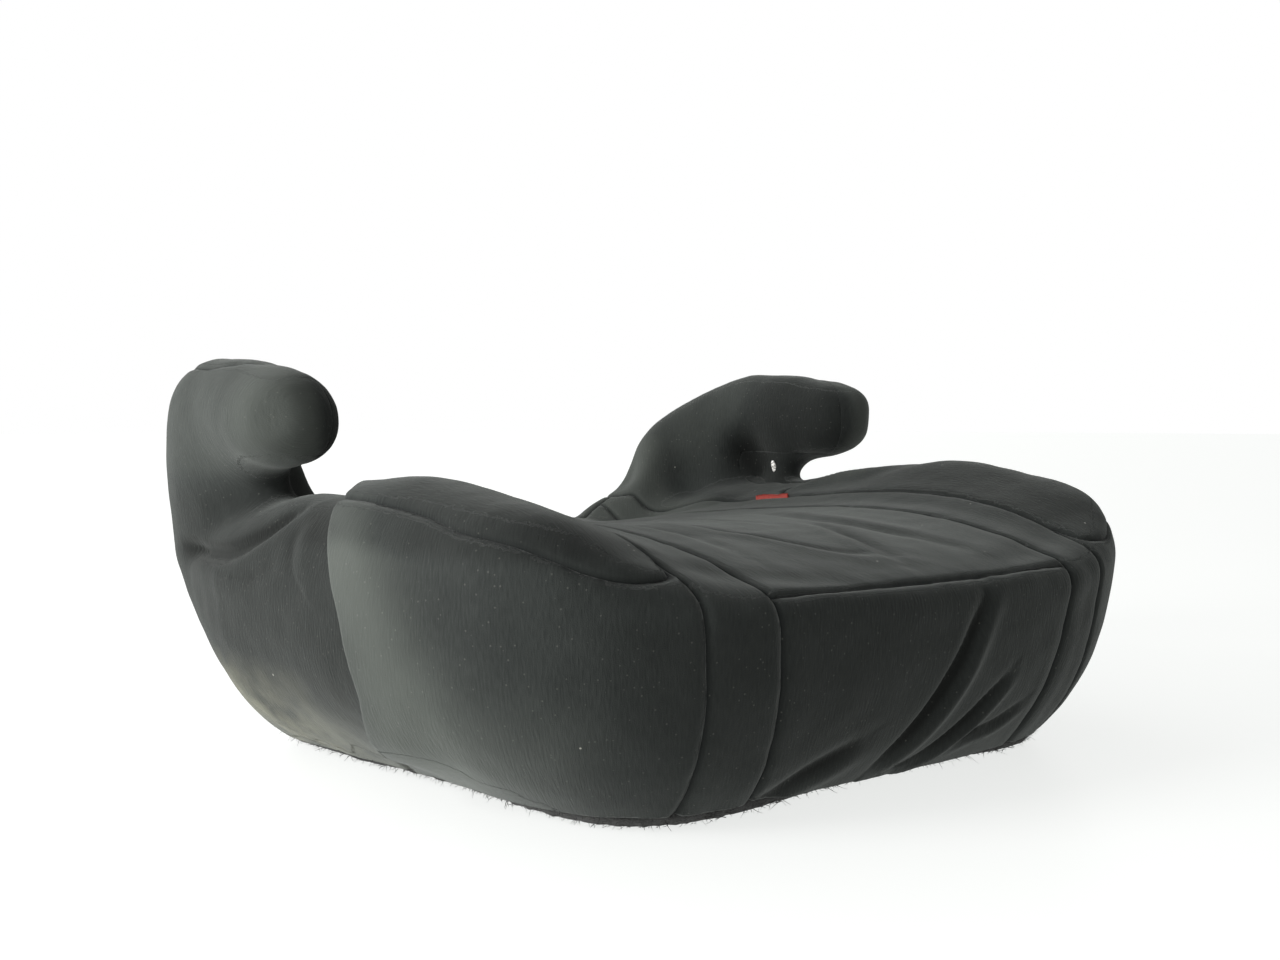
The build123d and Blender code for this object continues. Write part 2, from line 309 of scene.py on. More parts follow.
def sculpt(co):
    """Moves points by the smooth pushes and draws the foot of the flank in between its corners."""
    co = np.array(co)
    for middle, shift, reach in PUSHES:
        for side in (1, -1):
            mirror = np.array([side, 1, 1]) * MM
            gap = (co - mirror * middle) / (reach * MM)
            co += np.exp(-(gap ** 2).sum(axis=1))[:, None] * (mirror * shift)
    x, y, z = co.T
    turn = np.arctan2(np.abs(x) / 0.157, -y / 0.156)
    corner = np.abs(np.sin(2 * turn)) ** 4
    let_out = FRONT_CORNER + (REAR_CORNER - FRONT_CORNER) * smooth(-0.05, 0.05, y)
    amount = (BASE_TRIM + let_out * corner) * np.clip(1 - z / FOOT_TOP, 0, 1) ** 2
    amount += WAIST_TRIM * corner * bell(z - WAIST_HEIGHT, WAIST_REACH)
    away = np.hypot(x, y) + 1e-6
    amount = amount * smooth(0.06, 0.11, away)
    co[:, 0] += x / away * amount
    co[:, 1] += y / away * amount
    arch = np.interp(y, (-0.12, -0.03), HEM_ARCH[::-1])
    co[:, 2] += arch * (1 - corner) * np.clip(1 - z / ARCH_TOP, 0, 1) ** 2
    return co


# ---- the skin --------------------------------------------------------------

def add_lump(bm, middle, sizes, heading, tilt=0.0):
    """Closed ellipsoid that the skin is drawn over, turned about Z and then tilted."""
    turn = Matrix.Rotation(heading, 4, "Z") @ Matrix.Rotation(tilt, 4, "Y")
    place = Matrix.Translation(middle) @ turn @ Matrix.Diagonal((*sizes, 1))
    bmesh.ops.create_uvsphere(bm, u_segments=32, v_segments=16, radius=1, matrix=place)


# Places where the cover spans a hollow instead of following the core: middle and reach in
# millimetres, how strongly it is eased, mirrored like the pushes.
EASED = (
    ((148, 130, 128), 32, 1.0),
    ((206, 84, 145), 26, 1.0),
    ((207, 34, 172), 26, 0.9),
    ((214, 138, 116), 24, 1.0),
)
EASE_PASSES = 90
EASE_STEP = 0.6
EASE_FROM = 0.01          # anything eased less than this stays where it is


def eased_at(co):
    """How strongly each place is eased, from 0 to 1."""
    weight = np.zeros(len(co))
    for middle, reach, strength in EASED:
        for side in (1, -1):
            gap = (co - np.array([side, 1, 1]) * np.array(middle) * MM) / (reach * MM)
            weight = np.maximum(weight, strength * np.exp(-(gap ** 2).sum(axis=1) ** 2))
    return weight


def ease_hollows(mesh):
    """Draws the skin tight over its hollows, by evening out each place with its neighbours."""
    co = places(mesh)
    weight = eased_at(co)
    edges = np.empty(len(mesh.edges) * 2, dtype=np.int64)
    mesh.edges.foreach_get("vertices", edges)
    edges = edges.reshape(-1, 2)
    edges = edges[(weight[edges] > EASE_FROM).any(axis=1)]
    count = np.bincount(edges.ravel(), minlength=len(co)).clip(1)
    for _ in range(EASE_PASSES):
        total = np.empty_like(co)
        for axis in range(3):
            at = co[:, axis]
            total[:, axis] = np.bincount(edges[:, 0], at[edges[:, 1]], len(co))
            total[:, axis] += np.bincount(edges[:, 1], at[edges[:, 0]], len(co))
        pull = total / count[:, None] - co
        co += (EASE_STEP * weight)[:, None] * pull * (weight > EASE_FROM)[:, None]
    move_to(mesh, co)


def first_skin():
    """One closed skin over everything that the cover wraps."""
    bm = bmesh.new()
    for side in (1, -1):
        # The cover spans the back of the belt notch on its outer side.
        add_lump(bm, (side * 0.197, 0.098, 0.136), (0.029, 0.008, 0.032), side * 0.868)
        # It slopes down from the horn's foot to the bolster instead of following the core in.
        add_lump(bm, (side * 0.152, 0.128, 0.104), (0.030, 0.056, 0.026), 0.0)
    for name in PANELS + ["foam_core", "seat_wadding"]:
        bm.from_mesh(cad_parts[name].data)
    mesh = bpy.data.meshes.new("skin")
    bm.to_mesh(mesh)
    bm.free()
    skin = new_object("skin", mesh)
    add_remesh(skin, VOXEL)
    relax = skin.modifiers.new("relax", "SMOOTH")
    relax.factor = 0.5
    relax.iterations = SMOOTH_PASSES
    return baked(skin)


FIELD_JUMP = 0.02         # a step this big between neighbours isn't a seam
SNAP = 0.12               # a crossing this near a vertex, as a share of its edge, moves the vertex
ZONE_MARGIN = 0.006       # a seam is cut this far past the panels that it parts
EDGE_ZONE = 0.07          # the seat's front and rear edges are cut above this height


def cut_along(bm, field, zone):
    """Adds edges where the field is zero, within the zone, so that panels can part there."""
    co = np.array([v.co for v in bm.verts])
    value = field(*co.T)
    inside = zone(*co.T)
    bm.verts.index_update()
    crossing = []
    on_line = {}    # a dict keeps its order, so every run connects the points in the same one
    for edge in bm.edges:
        a, b = edge.verts
        fa, fb = value[a.index], value[b.index]
        if fa * fb < 0 and (inside[a.index] or inside[b.index]) and abs(fa - fb) < FIELD_JUMP:
            crossing.append((edge, a, fa / (fa - fb)))
    for edge, a, t in crossing:
        if t < SNAP or t > 1 - SNAP:
            near = a if t < 0.5 else edge.other_vert(a)
            far = edge.other_vert(near)
            if near not in on_line:
                near.co = near.co.lerp(far.co, min(t, 1 - t))
                on_line[near] = True
    for edge, a, t in crossing:
        b = edge.other_vert(a)
        if a in on_line or b in on_line:
            continue
        _, vert = bmesh.utils.edge_split(edge, a, t)
        on_line[vert] = True
    bmesh.ops.connect_verts(bm, verts=list(on_line))


def keep_largest(bm):
    """Removes every island but the largest, such as the walls of the core's underside pockets."""
    seen = set()
    islands = []
    for vert in bm.verts:
        if vert in seen:
            continue
        seen.add(vert)
        island = [vert]
        for member in island:
            for edge in member.link_edges:
                other = edge.other_vert(member)
                if other not in seen:
                    seen.add(other)
                    island.append(other)
        islands.append(island)
    islands.sort(key=len)
    for island in islands[:-1]:
        bmesh.ops.delete(bm, geom=island, context="VERTS")


def everywhere(x, y, z):
    return np.full(x.shape, True)


def flank_zone(x, y, z):
    return outer_seam(x, y, z) > -ZONE_MARGIN


# The seams in the order that they are cut, each with the zone that it is cut in.
CUT_LINES = (
    (inner_seam, everywhere),
    (outer_seam, everywhere),
    (front_edge, lambda x, y, z: (z > EDGE_ZONE) & (inner_seam(x, y, z) < ZONE_MARGIN)),
    (rear_edge, lambda x, y, z: (z > EDGE_ZONE) & (outer_seam(x, y, z) < ZONE_MARGIN)),
    (side_seam, flank_zone),
    (shoulder_seam, lambda x, y, z: flank_zone(x, y, z) & (side_seam(x, y, z) < ZONE_MARGIN)),
    (horn_seam, lambda x, y, z: flank_zone(x, y, z) & (side_seam(x, y, z) > -ZONE_MARGIN)),
)


def cut_panels(mesh):
    """Cuts the skin along every seam and marks each face with its panel."""
    ease_hollows(mesh)
    move_to(mesh, sculpt(places(mesh)))
    bm = bmesh.new()
    bm.from_mesh(mesh)
    bmesh.ops.bisect_plane(
        bm, geom=bm.verts[:] + bm.edges[:] + bm.faces[:], plane_co=(0, 0, BASE_CUT),
        plane_no=(0, 0, -1), clear_outer=True,
    )
    keep_largest(bm)
    for field, zone in CUT_LINES:
        cut_along(bm, field, zone)
    layer = bm.faces.layers.int.new("panel")
    centres = np.array([f.calc_center_median() for f in bm.faces])
    for face, index in zip(bm.faces, panel_of(*centres.T)):
        face[layer] = int(index)
    crease = bm.edges.layers.float.new("crease_edge")
    for edge in bm.edges:
        if len({f[layer] for f in edge.link_faces}) > 1:
            edge[crease] = 1.0
    bm.to_mesh(mesh)
    bm.free()
    skin = new_object("skin", mesh)
    finer = skin.modifiers.new("finer", "SUBSURF")
    finer.levels = 1
    return baked(skin)


def along_curve(points, step=0.003):
    """Evenly thick row of points on the smooth line through a few given ones, in millimetres."""
    ends = [points[0]] + list(points) + [points[-1]]
    p = np.array(ends, dtype=float) * MM
    row = []
    for a, b, c, d in zip(p, p[1:], p[2:], p[3:]):
        count = max(int(np.linalg.norm(c - b) / step), 1)
        for t in np.arange(count) / count:
            row.append(0.5 * (
                2 * b + (c - a) * t + (2 * a - 5 * b + 4 * c - d) * t * t
                + (3 * b - a - 3 * c + d) * t ** 3
            ))
    row.append(p[-2])
    return np.array(row)


def crease_lift(co, no, points, depth, width, ridge, ridge_at, ridge_width):
    """Lift of a valley along a line, with a ridge to its right (ridge_at > 0) or left from outside."""
    row = along_curve(points)
    reach = 4 * max(width, abs(ridge_at) + ridge_width)
    near = np.all((co > row.min(0) - reach) & (co < row.max(0) + reach), axis=1)
    index = np.nonzero(near)[0]
    lift = np.zeros(len(co))
    if not len(index):
        return lift
    gap = co[index][:, None, :] - row[None, :, :]
    length = np.linalg.norm(gap, axis=2)
    best = length.argmin(axis=1)
    away = length[np.arange(len(index)), best]
    tangent = np.gradient(row, axis=0)
    side = np.cross(tangent[best], no[index])
    side /= np.linalg.norm(side, axis=1)[:, None] + 1e-9
    signed = np.sign(np.einsum("ij,ij->i", gap[np.arange(len(index)), best], side)) * away
    t = best / max(len(row) - 1, 1)
    fade = np.clip(np.sin(np.pi * np.clip(t, 0.02, 0.98)), 0, 1) ** 0.6
    lift[index] = fade * (ridge * bell(signed - ridge_at, ridge_width) - depth * bell(signed, width))
    return lift


# Folds that the cover has taken, as (points, valley depth, valley width, ridge height,
# ridge place to the side, ridge width). Points and sizes are in millimetres.
FOLDS = (
    # Front panel.
    (((31, -196, 95), (24, -197, 84), (10, -192, 58), (-4, -182, 33), (-20, -170, 10)),
     5.0, 5.0, 3.2, -7.5, 6),
    (((55, -191, 53), (35, -182, 33), (14, -172, 15), (-3, -169, 8)), 3.4, 4.0, 2.4, -6, 4),
    (((77, -183, 35), (61, -179, 27), (43, -178, 22), (27, -173, 15)), 2.2, 3.5, 1.6, -5, 4),
    (((-40, -181, 32), (-61, -175, 21), (-78, -168, 11), (-90, -163, 5)), 3.6, 6.5, 1.4, -10, 6),
    # Seat panel.
    (((-39, -30, 119), (-42, -88, 118), (-35, -111, 116), (-21, -146, 111), (-1, -158, 108)),
     2.4, 4.6, 1.4, 9, 8),
    (((30, -85, 116), (22, -112, 115), (11, -145, 111), (0, -172, 105)), 1.9, 5.2, 1.1, 9, 8),
    (((60, -20, 117), (45, -75, 117), (48, -120, 113), (60, -160, 107)), 1.5, 6.0, 1.0, -10, 8),
    (((-70, 10, 118), (-78, -50, 119), (-72, -100, 117), (-80, -150, 110)), 1.5, 6.0, 1.0, 10, 8),
    (((5, 60, 114), (12, 10, 116), (0, -40, 118), (8, -80, 117)), 1.0, 5.0, 0.6, 8, 6),
    # Foot of the left horn and the flank below it.
    (((-206, 140, 104), (-216, 108, 105), (-220, 70, 107), (-217, 41, 117), (-206, 18, 129)),
     7.5, 4.5, 1.0, 10, 7),
    (((-214, 80, 96), (-219, 40, 96), (-217, 10, 104)), 1.2, 6.0, 0.8, 9, 6),
    (((-212, -20, 92), (-216, -2, 106), (-212, 6, 122)), 1.4, 5.0, 0.6, 9, 7),
    (((-170, 30, 10), (-186, 66, 30), (-196, 96, 48)), 1.2, 6.0, 0.8, 10, 8),
)
FOLD_SHADE = 0.9          # painted shade: how much darker a fold is made, in full from this depth on
FOLD_SHADE_DEPTH = 0.003


def seam_distance(mesh, co, face_panel):
    """How far each vertex is from the nearest seam."""
    corners = quads_of(mesh)
    first = np.full(len(co), len(PANELS))
    last = np.full(len(co), -1)
    for k in range(4):
        np.minimum.at(first, corners[:, k], face_panel)
        np.maximum.at(last, corners[:, k], face_panel)
    on_seam = np.nonzero(first != last)[0]
    tree = kdtree.KDTree(len(on_seam))
    for i in on_seam:
        tree.insert(co[i], int(i))
    tree.balance()
    return np.array([tree.find(p)[2] for p in co])


def roll_lift(x, y, z):
    """The side panel ends in a rounded roll that stands over the horn cover behind it."""
    behind = side_seam(x, y, z)
    on_flank = smooth(0.150, 0.185, np.abs(x)) * smooth(0.012, 0.040, z)
    on_flank *= smooth(0.150, 0.126, z)
    roll = bell(np.minimum(behind + 0.012, 0), 0.030) * smooth(0.0, -0.010, behind)
    sink = bell(np.maximum(behind, 0), 0.022) * smooth(-0.006, 0.002, behind)
    return on_flank * (ROLL_HEIGHT * roll - SINK_DEPTH * sink)


def skin_relief(mesh):
    """Draws the skin in at the seams and folds it.

    Returns how far each vertex is from a seam, its wear with painted light and shade, and each face's
    panel.
    """
    face_panel = np.empty(len(mesh.polygons), dtype=np.int32)
    mesh.attributes["panel"].data.foreach_get("value", face_panel)
    co = places(mesh)
    no = normals(mesh)
    away = seam_distance(mesh, co, face_panel)
    x, y, z = co.T
    # The seams are drawn tight and hardly show on the horn, least on its tip and its foot.
    on_horn = smooth(0.140, 0.155, z)
    on_tip = on_horn * smooth(0.085, 0.055, y)
    on_foot = smooth(0.065, 0.085, y) * smooth(0.006, 0.014, outer_seam(x, y, z))
    on_foot *= smooth(0.208, 0.200, np.abs(x)) * smooth(0.166, 0.156, z)
    shallow = (1 - 0.55 * on_horn) * (1 - 0.95 * on_tip) * (1 - 0.9 * on_foot)
    lift = np.full(len(co), SKIN_LIFT)
    lift -= SEAM_DEPTH * shallow * bell(away, SEAM_WIDTH)
    lift += SEAM_ROLL * bell(away - SEAM_ROLL_AT, SEAM_ROLL_AT)
    lift += PUCKER * wobble(co, 0.009, 3) * np.exp(-away / 0.007)
    lift += roll_lift(x, y, z)
    folded = np.zeros(len(co))
    for points, *sizes in FOLDS:
        folded += crease_lift(co, no, points, *(size * MM for size in sizes))
    lift += folded
    slack = bell(x - 0.020, 0.075) * bell(z - 0.040, 0.045) * (y < -0.10)
    lift += FRONT_SLACK * slack * smooth(0.0, 0.012, away)
    # Broad and small unevenness of the stuffing.
    lift += 0.0007 * wobble(co, 0.045, 1) + 0.0003 * wobble(co, 0.014, 2)
    lift = np.maximum(lift, -DEEPEST - DEEPEST_EASED * eased_at(co))
    move_to(mesh, co + no * lift[:, None])
    shade_and_wear = painted_light_and_wear_at(x, y, z, -no[:, 0] * np.sign(x))
    # Painted shade in the folds.
    shade_and_wear -= FOLD_SHADE * np.clip(-folded / FOLD_SHADE_DEPTH, 0, 1)
    # The painted shade in the groove of each seam fades out on the horn with the seam.
    return away + 0.0006 * on_horn + 0.0030 * on_tip + 0.0030 * on_foot, shade_and_wear, face_panel


# How much lighter, or if negative darker, each part of the cover is. Part of this is fading and
# part stands in for light and shade that the studio lights don't give.
PAINTED_LIGHT_AND_WEAR = {
    "roll": 1.1, "low": 0.45, "rear": -0.6, "horn": 0.30, "inner": -0.85, "tip": 0.65,
    "crest": -0.55, "seat": 0.7, "hollow": -1.4, "front": -0.35,
}


def painted_light_and_wear_at(x, y, z, inward):
    """How much lighter the knit is made by fading and painted light, and, where negative, how much darker
    by painted shade: most on the painted highlight along the roll of each side panel, least in the
    painted shade behind it.
    """
    behind = side_seam(x, y, z)
    wide = np.abs(x)
    # Painted highlight on the roll of the side panel, paler low on the flank, and painted shade on the
    # flank behind the side panel's rear seam.
    on_flank = smooth(0.150, 0.185, wide) * smooth(0.150, 0.126, z)
    middle = 0.022 + 0.22 * np.clip(0.105 - z, 0, 0.1)
    roll = bell(behind + middle, 0.024) * smooth(0.002, -0.004, behind)
    low = bell(behind + 0.075, 0.055) * smooth(0.075, 0.030, z)
    rear = smooth(-0.002, 0.004, behind)
    # Painted shade in the hollow under the horn's hook, on the front panel and on the horn's inner side;
    # paler over the top of the horn, and a painted highlight on its tip.
    hollow = bell(wide - 0.185, 0.018) * bell(y - 0.112, 0.018) * bell(z - 0.150, 0.015)
    hollow *= smooth(0.203, 0.196, wide)
    front = smooth(-0.165, -0.180, y) * smooth(0.100, 0.085, z)
    horn = smooth(0.115, 0.160, z) * smooth(-0.005, 0.015, y)
    inner = horn * smooth(0.0, 0.7, inward) * smooth(0.120, 0.090, y)
    tip = horn * smooth(0.075, 0.030, y) * smooth(0.5, 0.1, inward)
    # Painted shade on the top of the bolster and a painted highlight on the rear of the seat.
    crest = smooth(0.112, 0.122, z) * smooth(0.020, -0.020, y)
    crest *= smooth(0.128, 0.150, wide)
    seat = smooth(0.145, 0.130, wide) * smooth(0.02, 0.12, y) * smooth(0.10, 0.105, z)
    lit_and_worn = PAINTED_LIGHT_AND_WEAR["roll"] * roll + PAINTED_LIGHT_AND_WEAR["low"] * low * (1 - rear)
    lit_and_worn = on_flank * (lit_and_worn + PAINTED_LIGHT_AND_WEAR["rear"] * rear * smooth(0.010, 0.050, z))
    lit_and_worn += PAINTED_LIGHT_AND_WEAR["horn"] * horn + PAINTED_LIGHT_AND_WEAR["inner"] * inner + PAINTED_LIGHT_AND_WEAR["tip"] * tip
    lit_and_worn += PAINTED_LIGHT_AND_WEAR["crest"] * crest + PAINTED_LIGHT_AND_WEAR["seat"] * seat
    return lit_and_worn + PAINTED_LIGHT_AND_WEAR["hollow"] * hollow + PAINTED_LIGHT_AND_WEAR["front"] * front


# ---- panels ----------------------------------------------------------------

def perimeter_place(x, y):
    """Distance round the seat, for ribs that run up its sides."""
    turn = np.linspace(-math.pi, math.pi, 721)
    s = np.abs(np.sin(turn))
    c = np.abs(np.cos(turn))
    r = ((s / RIB_OUTLINE[0]) ** 4 + (c / RIB_OUTLINE[1]) ** 4) ** -0.25
    px = r * np.sin(turn)
    py = -r * np.cos(turn)
    length = np.concatenate([[0], np.cumsum(np.hypot(np.diff(px), np.diff(py)))])
    return np.interp(np.arctan2(x, -y), turn, length)


def closed_shell(co, no, quads, thickness):
    """Points and faces of a sheet with a thickness, given the outer face."""
    count = len(co)
    a = quads.ravel()
    b = np.roll(quads, -1, axis=1).ravel()
    edges = set(zip(a.tolist(), b.tolist()))
    rim = [(i, j) for i, j in edges if (j, i) not in edges]
    inner = quads[:, ::-1] + count
    sides = [(j, i, i + count, j + count) for i, j in rim]
    faces = quads.tolist() + inner.tolist() + sides
    return np.vstack([co, co - no * thickness]), faces


def make_panel(name, mesh, away, shade_and_wear, face_panel, material):
    """One panel of the cover, as a closed sheet with the attributes that its material reads."""
    index = PANELS.index(name)
    quads = quads_of(mesh)[face_panel == index]
    used, local = np.unique(quads, return_inverse=True)
    quads = local.reshape(-1, 4)
    co = places(mesh)[used]
    no = normals(mesh)[used]
    points, faces = closed_shell(co, no, quads, CLOTH_THICKNESS)
    made = built(name + "_cloth", points.tolist(), faces, material)
    made.polygons.foreach_set("use_smooth", [i < 2 * len(quads) for i in range(len(faces))])
    # The ribs run along the seat where it is level, and up and down on its sides.
    x, y, z = points.T
    level = np.abs(np.vstack([no, no])[:, 2]) > 0.8
    u = np.where(level, x, perimeter_place(x, y))
    v = np.where(level, y, z)
    weave = made.attributes.new("weave", "FLOAT_VECTOR", "POINT")
    weave.data.foreach_set("vector", np.column_stack([u, v, np.zeros(len(u))]).ravel())
    for label, values in (("shade_and_wear", shade_and_wear), ("seam", away)):
        layer = made.attributes.new(label, "FLOAT", "POINT")
        layer.data.foreach_set("value", np.tile(values[used], 2))
    return new_object(name + "_cloth", made)


# ---- materials -------------------------------------------------------------

class Shader:
    """A node material under construction."""

    def __init__(self, name):
        self.material = bpy.data.materials.new(name)
        self.material.use_nodes = True
        self.tree = self.material.node_tree
        self.surface = self.tree.nodes["Principled BSDF"]

    def node(self, kind, inputs=None, **settings):
        made = self.tree.nodes.new(kind)
        for key, value in settings.items():
            setattr(made, key, value)
        for key, value in (inputs or {}).items():
            if isinstance(value, bpy.types.NodeSocket):
                self.tree.links.new(value, made.inputs[key])
            else:
                made.inputs[key].default_value = value
        return made

    def math(self, operation, a, b=0.0):
        return self.node("ShaderNodeMath", {0: a, 1: b}, operation=operation).outputs[0]

    def ramp(self, value, low, high, to_low=0.0, to_high=1.0):
        """The value's range from low to high, mapped to another and clamped to it."""
        return self.node("ShaderNodeMapRange", {
            "Value": value, "From Min": low, "From Max": high, "To Min": to_low, "To Max": to_high,
        }).outputs[0]

    def blend(self, amount, a, b):
        """Colour a where the amount is 0, and b where it is 1."""
        mix = self.node("ShaderNodeMix", data_type="RGBA")
        for socket, value in ((mix.inputs[0], amount), (mix.inputs[6], a), (mix.inputs[7], b)):
            if isinstance(value, bpy.types.NodeSocket):
                self.tree.links.new(value, socket)
            else:
                socket.default_value = value
        return mix.outputs[2]

    def scaled(self, vector, scale):
        return self.node("ShaderNodeMapping", {"Vector": vector, "Scale": scale}).outputs[0]

    def noise(self, vector, scale, detail=2.0, roughness=0.5):
        return self.node("ShaderNodeTexNoise", {
            "Vector": vector, "Scale": scale, "Detail": detail, "Roughness": roughness,
        }).outputs[0]

    def attribute(self, name, output="Fac"):
        return self.node("ShaderNodeAttribute", attribute_name=name).outputs[output]

    def place(self):
        return self.node("ShaderNodeTexCoord").outputs["Object"]

    def bump(self, height, distance):
        inputs = {"Height": height, "Distance": distance, "Strength": 1.0}
        return self.node("ShaderNodeBump", inputs).outputs[0]

    def set(self, values):
        for name, value in values.items():
            self.surface.inputs[name].default_value = value

    def finish(self, color, roughness, normal=None):
        self.tree.links.new(color, self.surface.inputs["Base Color"])
        self.set({"Roughness": roughness})
        if normal is not None:
            self.tree.links.new(normal, self.surface.inputs["Normal"])
        return self.material


# Linear colours of the knit, of its painted light and shade, and of what lies on it.
KNIT_DARK = (0.008, 0.0095, 0.009, 1)
KNIT_LIGHT = (0.026, 0.029, 0.027, 1)
KNIT_LIT_AND_WORN = (0.060, 0.066, 0.059, 1)
KNIT_SHADE = (0.003, 0.0035, 0.003, 1)
GROOVE_SHADE = (0.004, 0.005, 0.005, 1)
DUST_AND_FLOOR_LIGHT = (0.200, 0.194, 0.135, 1)
LINT = (0.33, 0.33, 0.29, 1)


def knit_material():
    """Brushed knit: fine ribs, fading, painted light and shade, dust, lint, and a short nap that catches
    light.
    """
    s = Shader("cover_knit")
    weave = s.attribute("weave", "Vector")
    place = s.place()
    ribs = s.noise(s.scaled(weave, (900, 170, 1)), 1.0, 1.0)
    grain = s.noise(s.scaled(weave, (2300, 2300, 1)), 1.0, 1.0)
    fade = s.noise(place, 9.0, 4.0, 0.6)
    blotch = s.noise(place, 38.0, 3.0, 0.6)
    tone = s.math("ADD", s.math("MULTIPLY", ribs, 0.38), s.math("MULTIPLY", grain, 0.30))
    tone = s.math("ADD", tone, s.math("MULTIPLY", fade, 0.45))
    tone = s.math("ADD", tone, s.math("MULTIPLY", blotch, 0.25))
    color = s.blend(s.ramp(tone, 0.42, 0.98), KNIT_DARK, KNIT_LIGHT)
    # Lighter with fading and painted light, darker with painted shade where the value is negative, and
    # painted shade in the groove of each seam.
    shade_and_wear = s.attribute("shade_and_wear")
    lit_and_worn = s.math("MULTIPLY", shade_and_wear, s.ramp(fade, 0.25, 0.60, 0.6, 1.0))
    color = s.blend(s.ramp(lit_and_worn, 0.0, 1.0, 0.0, 0.85), color, KNIT_LIT_AND_WORN)
    color = s.blend(s.ramp(shade_and_wear, 0.0, -1.0, 0.0, 0.9), color, KNIT_SHADE)
    groove_shade = s.ramp(s.attribute("seam"), 0.0022, 0.0002)
    color = s.blend(s.math("MULTIPLY", groove_shade, 0.75), color, GROOVE_SHADE)
    # Dust gathers low on the flanks and towards the back, with painted light from the floor.
    height = s.node("ShaderNodeSeparateXYZ", {0: place}).outputs
    low = s.ramp(height[2], 0.060, 0.004)
    rear = s.ramp(height[1], -0.04, 0.09)
    dust_and_floor_light = s.math("MULTIPLY", s.math("MULTIPLY", low, rear), s.ramp(blotch, 0.30, 0.62))
    color = s.blend(s.math("MULTIPLY", dust_and_floor_light, 0.85), color, DUST_AND_FLOOR_LIGHT)
    # Lint: a few pale specks and many faint ones, each in its own cell.
    cells = s.node("ShaderNodeTexVoronoi", {"Vector": place, "Scale": 75.0})
    pick = s.node("ShaderNodeSeparateColor", {0: cells.outputs["Color"]}).outputs[0]
    speck = s.math("LESS_THAN", cells.outputs["Distance"], 0.045)
    speck = s.math("MULTIPLY", speck, s.math("GREATER_THAN", pick, 0.82))
    fluff = s.node("ShaderNodeTexVoronoi", {"Vector": place, "Scale": 260.0})
    fine = s.math("LESS_THAN", fluff.outputs["Distance"], 0.10)
    speck = s.math("MAXIMUM", s.math("MULTIPLY", speck, 0.6), s.math("MULTIPLY", fine, 0.09))
    color = s.blend(speck, color, LINT)
    bump = s.bump(s.math("ADD", ribs, s.math("MULTIPLY", grain, 0.7)), 0.00022)
    s.set({"Sheen Weight": 0.15, "Sheen Roughness": 0.45, "Sheen Tint": (0.80, 0.84, 0.80, 1)})
    s.set({"Specular IOR Level": 0.15})
    return s.finish(color, 0.92, bump)


def hem_material():
    """Dark frayed cloth with dusty patches."""
    s = Shader("hem_fabric")
    place = s.place()
    fuzz = s.noise(place, 700.0, 4.0, 0.7)
    patch = s.noise(place, 60.0, 3.0)
    color = s.blend(s.ramp(fuzz, 0.3, 0.75), (0.0025, 0.003, 0.0025, 1), (0.018, 0.0185, 0.016, 1))
    color = s.blend(s.math("MULTIPLY", s.ramp(patch, 0.55, 0.75), 0.3), color, (0.070, 0.066, 0.048, 1))
    s.set({"Sheen Weight": 0.06})
    return s.finish(color, 0.95, s.bump(fuzz, 0.0012))


def core_material():
    """Moulded bead foam: white cells with fine dark joints."""
    s = Shader("core_eps")
    place = s.place()
    cells = s.node("ShaderNodeTexVoronoi", {"Vector": place, "Scale": 270.0}, feature="DISTANCE_TO_EDGE")
    joint = s.ramp(cells.outputs["Distance"], 0.0, 0.12)
    tone = s.node("ShaderNodeTexVoronoi", {"Vector": place, "Scale": 270.0})
    shade = s.node("ShaderNodeSeparateColor", {0: tone.outputs["Color"]}).outputs[0]
    color = s.blend(s.ramp(shade, 0, 1), (0.80, 0.79, 0.74, 1), (0.90, 0.89, 0.86, 1))
    color = s.blend(joint, (0.58, 0.57, 0.53, 1), color)
    return s.finish(color, 0.7, s.bump(joint, 0.0008))


def pad_material():
    """Open-cell foam."""
    s = Shader("pad_foam")
    pores = s.noise(s.place(), 900.0, 3.0, 0.7)
    color = s.blend(s.ramp(pores, 0.35, 0.65), (0.55, 0.53, 0.46, 1), (0.72, 0.70, 0.63, 1))
    return s.finish(color, 0.9, s.bump(pores, 0.001))


def elastic_material():
    """Woven elastic."""
    s = Shader("elastic_band")
    place = s.place()
    weave = s.node("ShaderNodeTexVoronoi", {"Vector": place, "Scale": 900.0})
    color = s.blend(weave.outputs["Distance"], (0.012, 0.012, 0.012, 1), (0.05, 0.05, 0.05, 1))
    return s.finish(color, 0.7, s.bump(weave.outputs["Distance"], 0.0005))


def tag_material():
    """Red woven ribbon."""
    s = Shader("tag_ribbon")
    place = s.place()
    weave = s.noise(s.scaled(place, (400, 1800, 1800)), 1.0, 2.0)
    color = s.blend(s.ramp(weave, 0.3, 0.7), (0.24, 0.022, 0.014, 1), (0.36, 0.045, 0.03, 1))
    return s.finish(color, 0.6, s.bump(weave, 0.0003))


# ---- hem -------------------------------------------------------------------

def base_outline(turn):
    """Point of the footprint's outline. The turn is 0 at the front and pi at the rear."""
    s = np.abs(np.sin(turn))
    c = np.abs(np.cos(turn))
    ease = np.abs(turn) / math.pi
    power = BASE_POWER[0] + (BASE_POWER[1] - BASE_POWER[0]) * ease * ease * (3 - 2 * ease)
    reach = np.where(np.cos(turn) > 0, *BASE_REACH)
    r = ((s / BASE_HALF) ** power + (c / reach) ** power) ** (-1 / power)
    return r * np.sin(turn), -r * np.cos(turn)


def around(turn, co):
    """Distance from the middle, at each turn, of points that lie round the seat."""
    at = np.arctan2(co[:, 0], -co[:, 1])
    order = np.argsort(at)
    far = np.hypot(co[:, 0], co[:, 1])
    return np.interp(turn, at[order], far[order], period=2 * math.pi)


